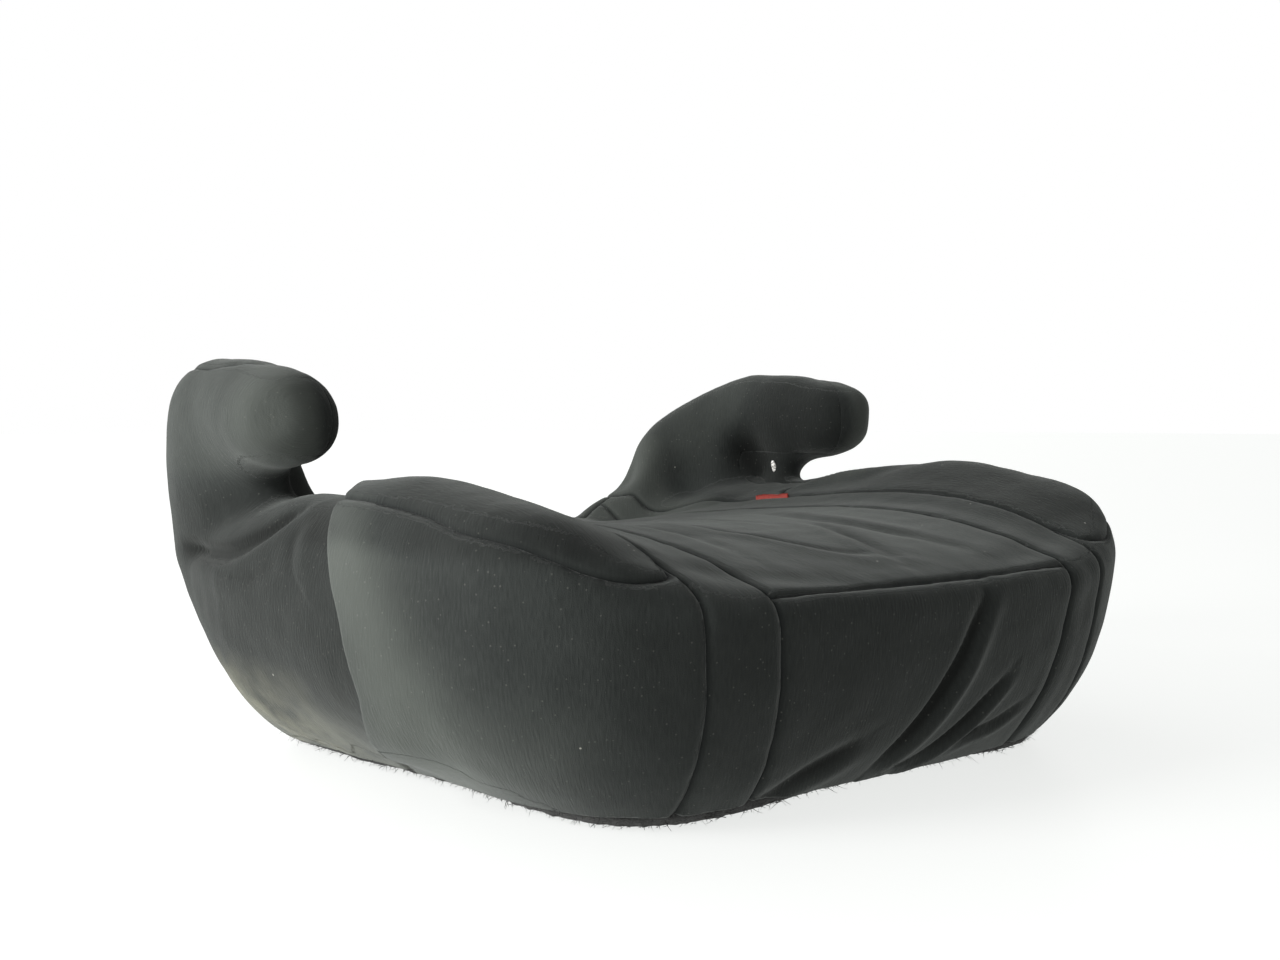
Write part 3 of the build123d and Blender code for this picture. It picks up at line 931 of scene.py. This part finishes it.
HEM_STATIONS = 1100       # points round the seat
HEM_THICKNESS = 0.0009
HEM_REST = 0.0005         # where the base's outline is taken, just above the floor
# Rows of the hem, from the panels down and in under the base: how far down the edge (0 at the
# panels, 1 at the floor), how far in from there, height and ruffle; the last three in millimetres.
HEM_ROWS = (
    (0, 2.6, 12.0, 0.1), (0, 2.2, 9.0, 0.2), (0.15, 0.6, 6.6, 0.7), (0.4, 0.1, 4.8, 1.1),
    (0.7, 0.1, 2.6, 1.2), (0.95, 0.6, 1.2, 1.1), (1, 2.4, 0.6, 0.8), (1, 7, 0.6, 0.5),
    (1, 12, 0.9, 0.5), (1, 17, 1.0, 0.6), (1, 22, 1.2, 0.7), (1, 26, 2.0, 0.7), (1, 27.3, 3.4, 0.4),
)
FIBRES = 5200
FIBRE_SEED = 5
FIBRE_JOINTS = 3


def hem_guides(mesh):
    """For even turns round the seat: reach of the panels' lower edge, of the base, and its height."""
    turn = np.linspace(-math.pi, math.pi, HEM_STATIONS, endpoint=False)
    co = places(mesh)
    upper = around(turn, co[co[:, 2] < BASE_CUT + 0.0012])
    window = np.full(9, 1 / 9)
    upper = np.convolve(np.pad(upper, 4, mode="wrap"), window, mode="valid")
    x, y = base_outline(turn)
    base = sculpt(np.column_stack([x, y, np.full(HEM_STATIONS, HEM_REST)]))
    at = np.arctan2(base[:, 0], -base[:, 1])
    order = np.argsort(at)
    height = np.interp(turn, at[order], base[order, 2], period=2 * math.pi)
    return turn, upper, around(turn, base), height - HEM_REST


def open_normals(points, quads):
    """Normal at each point of an open sheet."""
    mesh = bpy.data.meshes.new("open_sheet")
    mesh.from_pydata(points, [], quads)
    mesh.update()
    no = normals(mesh)
    bpy.data.meshes.remove(mesh)
    return no


def make_hem(material, guides):
    """The gathered edge: out from under the panels, rolled at the floor, and turned in under the base."""
    turn, upper, base, rise = guides
    circle = np.column_stack([base * np.sin(turn), -base * np.cos(turn), np.zeros(HEM_STATIONS)])
    gather = wobble(circle, 0.0045, 11) + 0.6 * wobble(circle, 0.011, 12)
    rows = []
    for k, (down, inset, height, ruffle) in enumerate(HEM_ROWS):
        fine = wobble(circle + np.array([0, 0, 0.01 * k]), 0.003, 13)
        reach = upper * (1 - down) + base * down
        reach -= (inset + ruffle * (0.7 * gather + 0.5 * fine)) * MM
        z = rise + MM * (height + 0.5 * ruffle * (gather + fine) * min(height / 3, 1))
        rows.append(np.column_stack([reach * np.sin(turn), -reach * np.cos(turn), np.maximum(z, 0.0003)]))
    co = np.vstack(rows)
    quads = []
    for a in range(0, len(co) - HEM_STATIONS, HEM_STATIONS):
        b = a + HEM_STATIONS
        for i in range(HEM_STATIONS):
            j = (i + 1) % HEM_STATIONS
            quads.append((a + i, a + j, b + j, b + i))
    no = open_normals(co.tolist(), quads)
    outer_point = HEM_STATIONS * 4
    if np.dot(no[outer_point], co[outer_point] * (1, 1, 0)) < 0:
        quads = [q[::-1] for q in quads]
        no = -no
    points, faces = closed_shell(co, no, np.array(quads), HEM_THICKNESS)
    points[:, 2] = np.maximum(points[:, 2], 0.0001)
    made = built("hem_rolled", points.tolist(), faces, material)
    made.polygons.foreach_set("use_smooth", [True] * len(faces))
    return new_object("hem_rolled", made)


def make_fuzz(material, guides):
    """Loose fibres along the edge that has rubbed on car seats."""
    rng = random.Random(FIBRE_SEED)
    points = []
    faces = []
    for _ in range(FIBRES):
        station = rng.randrange(HEM_STATIONS)
        turn, upper, base, rise = (float(guide[station]) for guide in guides)
        out = Vector((math.sin(turn), -math.cos(turn), 0))
        down = rng.uniform(0.0, 1.0)
        start = out * (upper * (1 - down) + base * down - 0.0006)
        start.z = rise + 0.0006 + BASE_CUT * (1 - down)
        lean = Vector((rng.gauss(0, 1), rng.gauss(0, 1), rng.gauss(0, 0.6)))
        way = (out * rng.uniform(0.3, 1.0) + lean * 0.7).normalized()
        length = rng.uniform(0.0012, 0.0040)
        curl = Vector((rng.gauss(0, 1), rng.gauss(0, 1), rng.gauss(0, 1))) * 0.35
        across = way.cross(Vector((0.3, 0.2, 1))).normalized() * rng.uniform(0.00010, 0.00020)
        over = way.cross(across).normalized() * across.length
        first = len(points)
        for joint in range(FIBRE_JOINTS + 1):
            t = joint / FIBRE_JOINTS
            middle = start + way * length * t + curl * length * t * t
            middle.z = max(middle.z, 0.0004)
            for side in (across, over, -across, -over):
                points.append(tuple(middle + side * (1 - 0.7 * t)))
        last = first + 4 * FIBRE_JOINTS
        for a in range(first, last, 4):
            for m in range(4):
                n = (m + 1) % 4
                faces.append((a + m, a + n, a + 4 + n, a + 4 + m))
        faces.append((first + 3, first + 2, first + 1, first))
        faces.append((last, last + 1, last + 2, last + 3))
    return new_object("hem_fuzz", built("hem_fuzz", points, faces, material))


TAG_X = 0.1398
TAG_FRONT = 0.0360
TAG_LENGTH = 0.028
TAG_POINTS = 28
TAG_THICKNESS = 0.0007


def make_tag(material, mesh):
    """Short loop of ribbon that stands out of the seam at the foot of the right bolster."""
    co = places(mesh)
    points = []
    for i in range(TAG_POINTS):
        y = TAG_FRONT + TAG_LENGTH * i / (TAG_POINTS - 1)
        x = TAG_X + 0.0004 * math.sin(i * 0.7)
        near = co[(np.abs(co[:, 0] - x) < 0.003) & (np.abs(co[:, 1] - y) < 0.004) & (co[:, 2] > 0.09)]
        floor = float(near[:, 2].max())
        top = 0.0007 + 0.0002 * math.sin(i * 0.33 + 1)
        points += [(x, y, floor - 0.003), (x - 0.0003, y, floor + 0.5 * top),
                   (x - 0.0009, y, floor + 0.9 * top), (x - 0.0005, y, floor + top)]
    quads = []
    for i in range(TAG_POINTS - 1):
        for a in range(4 * i, 4 * i + 3):
            quads.append((a, a + 1, a + 5, a + 4))
    no = open_normals(points, quads)
    shell, faces = closed_shell(np.array(points), no, np.array(quads), TAG_THICKNESS)
    return new_object("side_tag_ribbon", built("side_tag_ribbon", shell.tolist(), faces, material))


# The bare spot is where a line from this point, in the hollow of the right horn, meets the cover.
SPOT_FROM = (0.150, 0.0575, 0.1415)
SPOT_WAY = (0.718, 0.7015, -0.0303)
SPOT_SIZES = (0.0016, 0.0021, 0.0044)
SPOT_LIFT = 0.0004
SPOT_TILT = 0.25


def make_bare_spot(material, mesh):
    """Worn spot at the foot of the right horn's notch, where the white core shows."""
    tree = BVHTree.FromPolygons(places(mesh).tolist(), quads_of(mesh).tolist())
    place, normal, _, _ = tree.ray_cast(Vector(SPOT_FROM), Vector(SPOT_WAY))
    bm = bmesh.new()
    heading = math.atan2(normal.y, normal.x)
    add_lump(bm, place + normal * SPOT_LIFT, SPOT_SIZES, heading, SPOT_TILT)
    return from_bmesh("bare_spot", bm, material)


def make_core(material):
    """The moulded core with the same pushes as its cover, a little smaller than its CAD solid."""
    bm = bmesh.new()
    bm.from_mesh(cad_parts["foam_core"].data)
    bmesh.ops.remove_doubles(bm, verts=bm.verts[:], dist=0.00002)
    bm.normal_update()
    co = np.array([v.co for v in bm.verts])
    no = np.array([v.normal for v in bm.verts])
    inward = CORE_SHRINK * smooth(0.004, 0.012, co[:, 2]) + CORE_EASE * eased_at(co)
    for vert, place in zip(bm.verts, sculpt(co) - no * inward[:, None]):
        vert.co = place
    return from_bmesh("core_moulding", bm, material)


def make_pad(material):
    """Foam pad under the seat panel: the CAD pad, filled out by a short cloth simulation."""
    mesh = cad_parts["seat_wadding"].data.copy()
    pad = new_object("pad_start", mesh)
    add_remesh(pad, PAD_VOXEL)
    start = baked(pad)
    move_to(start, sculpt(places(start)) - normals(start) * PAD_START)
    pad = new_object("seat_pad", start)
    before = places(start)
    cloth = pad.modifiers.new("cloth", "CLOTH").settings
    cloth.use_pressure = True
    cloth.uniform_pressure_force = 4
    cloth.effector_weights.gravity = 0
    scene = bpy.context.scene
    for step in range(1, PAD_FRAMES + 1):
        scene.frame_set(step)
    swollen = pad.evaluated_get(bpy.context.evaluated_depsgraph_get())
    gap = places(swollen.data) - before
    length = np.linalg.norm(gap, axis=1)[:, None] + 1e-9
    gap *= np.minimum(length, PAD_SWELL) / length
    scene.frame_set(1)
    pad.modifiers.clear()
    move_to(start, before + gap)
    finer = pad.modifiers.new("finer", "SUBSURF")
    finer.levels = 1
    made = baked(pad)
    made.name = "seat_pad"
    made.materials.clear()
    made.materials.append(material)
    made.polygons.foreach_set("use_smooth", [True] * len(made.polygons))
    return new_object("seat_pad", made)


# ---- the seat --------------------------------------------------------------

pad = make_pad(pad_material())
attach(pad, "root")
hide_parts("seat_wadding")

skin_mesh = cut_panels(first_skin())
away, shade_and_wear, face_panel = skin_relief(skin_mesh)

knit = knit_material()
hem_cloth = hem_material()

for panel_name in PANELS:
    piece = make_panel(panel_name, skin_mesh, away, shade_and_wear, face_panel, knit)
    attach(piece, "root")
    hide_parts(panel_name)

guides = hem_guides(skin_mesh)
hem = make_hem(hem_cloth, guides)
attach(hem, "root")
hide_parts("hem_binding")

fuzz = make_fuzz(hem_cloth, guides)
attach(fuzz, "root")

tag = make_tag(tag_material(), skin_mesh)
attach(tag, "root")
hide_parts("side_tag")

foam = core_material()
spot = make_bare_spot(foam, skin_mesh)
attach(spot, "root")

core = make_core(foam)
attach(core, "root")
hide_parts("foam_core")

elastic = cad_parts["hem_elastic"].data
elastic.materials.clear()
elastic.materials.append(elastic_material())


# ---- stage -----------------------------------------------------------------

def make_floor():
    """Pale floor that is bright enough to run into the backdrop."""
    bm = bmesh.new()
    bmesh.ops.create_grid(bm, x_segments=1, y_segments=1, size=20)
    s = Shader("floor")
    tone = s.noise(s.place(), 3.0)
    color = s.blend(tone, (0.25, 0.253, 0.25, 1), (0.26, 0.263, 0.26, 1))
    s.set({"Specular IOR Level": 0.12})
    s.set({"Emission Color": (0.97, 0.985, 0.97, 1), "Emission Strength": 0.78})
    from_bmesh("floor", bm, s.finish(color, 0.35))


def add_light(name, kind, power, way, front):
    """Light whose given axis, front, points the given way."""
    data = bpy.data.lights.new(name, kind)
    data.energy = power
    lamp = new_object(name, data)
    lamp.rotation_euler = Vector(way).to_track_quat(front, "Y").to_euler()
    return lamp


def area_light(name, place, target, size, power):
    lamp = add_light(name, "AREA", power, Vector(target) - Vector(place), "-Z")
    lamp.location = place
    lamp.data.shape = "RECTANGLE"
    lamp.data.size, lamp.data.size_y = size


def soft_sun(name, way, power, softness):
    """Sun that shines from the given direction, softened over this many degrees."""
    add_light(name, "SUN", power, way, "Z").data.angle = math.radians(softness)


def make_world():
    """White studio that is lit most from behind the seat; the backdrop itself is even."""
    world = bpy.data.worlds.new("studio")
    world.use_nodes = True
    tree = world.node_tree
    nodes = tree.nodes
    back = nodes["Background"]
    back.inputs["Color"].default_value = (1.0, 1.0, 1.0, 1)
    coord = nodes.new("ShaderNodeTexCoord")
    facing = nodes.new("ShaderNodeVectorMath")
    facing.operation = "DOT_PRODUCT"
    facing.inputs[1].default_value = (-0.66, 0.70, 0.10)
    level = nodes.new("ShaderNodeMapRange")
    level.interpolation_type = "SMOOTHSTEP"
    for name, value in (("From Min", -0.8), ("From Max", 0.9), ("To Min", 0.10), ("To Max", 0.95)):
        level.inputs[name].default_value = value
    seen = nodes.new("ShaderNodeLightPath")
    mix = nodes.new("ShaderNodeMix")
    mix.inputs[3].default_value = 1.0
    tree.links.new(coord.outputs["Generated"], facing.inputs[0])
    tree.links.new(facing.outputs["Value"], level.inputs["Value"])
    tree.links.new(seen.outputs["Is Camera Ray"], mix.inputs[0])
    tree.links.new(level.outputs["Result"], mix.inputs[2])
    tree.links.new(mix.outputs[0], back.inputs["Strength"])
    bpy.context.scene.world = world


def make_camera():
    """Camera at the front left corner, a little above the seat and looking slightly down."""
    azimuth = math.radians(-40.37)
    pitch = math.radians(2.29)
    back = Vector((
        math.sin(azimuth) * math.cos(pitch), -math.cos(azimuth) * math.cos(pitch), math.sin(pitch)
    ))
    data = bpy.data.cameras.new("camera")
    data.sensor_width = 36
    data.lens = 40.63
    camera = new_object("camera", data)
    camera.location = (-0.521, -0.5975, 0.1703)
    camera.rotation_euler = back.to_track_quat("Z", "Y").to_euler()
    bpy.context.scene.camera = camera


make_floor()
make_camera()
make_world()
bpy.context.scene.view_settings.view_transform = "Standard"
soft_sun("overhead", (-0.5, 1.2, 0.9), 0.4, 70)
area_light("fill", (-1.3, -1.1, 0.35), (-0.1, 0, 0.12), (0.8, 0.6), 7)
area_light("left", (-1.5, 0.30, 0.45), (-0.1, 0, 0.08), (0.6, 1.0), 40)
